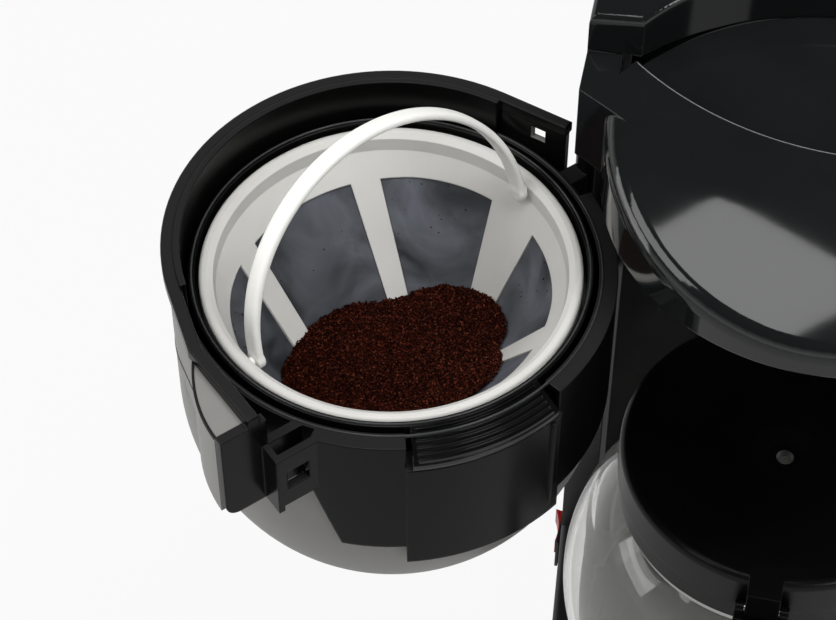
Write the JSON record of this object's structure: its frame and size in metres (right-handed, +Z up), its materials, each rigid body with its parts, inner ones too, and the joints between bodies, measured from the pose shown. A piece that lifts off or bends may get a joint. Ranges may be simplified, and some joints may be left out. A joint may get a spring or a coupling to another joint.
{
  "type": "drip coffee maker",
  "caption": "Drip coffee maker with a brew basket on a swing-out holder, permanent filter, glass carafe on a hot plate, hinged reservoir lid and side rocker switch.",
  "frame": {"origin": "middle of the whole part's bounding box, on the table under the feet, with the basket swung out", "axes": "+Z up, -Y to the front of the machine, -X to its left, where the basket swings out"},
  "size_m": [0.2786, 0.262, 0.3506],
  "materials": {
    "black_gloss": "gloss",
    "black_satin": "satin",
    "silver_paint": "satin",
    "white_plastic": "satin",
    "nylon_mesh": "matte",
    "ground_coffee": "matte",
    "jug_glass": "gloss",
    "smoked_window": "gloss",
    "steel": "satin",
    "plate_coating": "satin",
    "cast_aluminium": "satin",
    "rubber": "matte",
    "silicone": "satin",
    "tank_plastic": "satin",
    "red_switch": "gloss",
    "wire_cover": "satin",
    "ceramic_white": "matte"
  },
  "bodies": {
    "body": {"base_housing": "black_satin", "bottom_cover": "black_satin", "rubber_feet": "rubber", "bottom_screws": "steel", "hot_plate": "plate_coating", "plate_seal": "silicone", "heater_block": "cast_aluminium", "heater_clamp": "steel", "clamp_screw": "steel", "thermostat": "steel", "thermal_fuses": "ceramic_white", "terminal_block": "ceramic_white", "wires": "wire_cover", "switch_bezel": "black_satin", "cord_gland": "rubber", "rear_housing": "black_satin", "level_window": "smoked_window", "tower_front_wall": "black_satin", "water_tank": "tank_plastic", "check_valve": "white_plastic", "inlet_hose": "silicone", "riser_hose": "silicone", "hose_clips": "steel", "hood_cover": "black_gloss", "shower_plate": "black_satin", "spray_head": "black_satin", "swing_hinge_pin": "steel", "lid_hinge_pin": "steel"},
    "lid": {"reservoir_lid": "black_gloss", "lid_liner": "black_satin"},
    "rocker": {"switch_rocker": "red_switch"},
    "holder": {"silver_dome": "silver_paint", "swing_bowl": "black_satin", "hinge_bushes": "white_plastic"},
    "basket": {"brew_basket": "black_satin", "drip_spring": "steel"},
    "plunger": {"drip_plunger": "white_plastic"},
    "filter": {"filter_frame": "white_plastic", "filter_mesh": "nylon_mesh", "coffee_grounds": "ground_coffee"},
    "bail": {"filter_bail": "white_plastic"},
    "carafe": {"carafe_glass": "jug_glass", "carafe_collar": "black_satin", "carafe_band": "steel", "carafe_handle": "black_satin", "handle_screw": "steel", "carafe_lid_pin": "steel"},
    "carafe_cover": {"carafe_lid": "black_satin"}
  },
  "joints": [
    {"name": "basket_swing", "type": "hinge", "parent": "body", "child": "holder", "pos_m": [-0.01667, 0.01052, 0.25], "axis": [0, 0, -1], "range_deg": [-120, 5]},
    {"name": "reservoir_lid", "type": "hinge", "parent": "body", "child": "lid", "pos_m": [0.05933, 0.11302, 0.332], "axis": [-1, 0, 0], "range_deg": [0, 85]},
    {"name": "power_rocker", "type": "hinge", "parent": "body", "child": "rocker", "pos_m": [-0.01667, 0.04302, 0.021], "axis": [0, 0, -1], "range_deg": [0, 16]},
    {"name": "basket_lift", "type": "slide", "parent": "holder", "child": "basket", "axis": [0, 0, 1], "range_m": [0, 0.12]},
    {"name": "drip_stop", "type": "slide", "parent": "basket", "child": "plunger", "axis": [0, 0, 1], "range_m": [0, 0.004], "stiffness_N_per_m": 120, "springref_m": -0.006, "deforming": ["drip_spring"]},
    {"name": "filter_lift", "type": "slide", "parent": "basket", "child": "filter", "axis": [0, 0, 1], "range_m": [0, 0.1]},
    {"name": "bail_fold", "type": "hinge", "parent": "filter", "child": "bail", "pos_m": [-0.06983, -0.04655, 0.274], "axis": [0.6157, 0.788, 0], "range_deg": [-75, 3.2]},
    {"name": "carafe_slide", "type": "slide", "parent": "body", "child": "carafe", "axis": [0, -1, 0], "range_m": [0, 0.2]},
    {"name": "carafe_lid", "type": "hinge", "parent": "carafe", "child": "carafe_cover", "pos_m": [0.05933, -0.06648, 0.1552], "axis": [1, 0, 0], "range_deg": [0, 85]}
  ],
  "couplings": [
    {"joint": "bail_fold", "follows": "basket_swing", "ratio": 0.625}
  ]
}
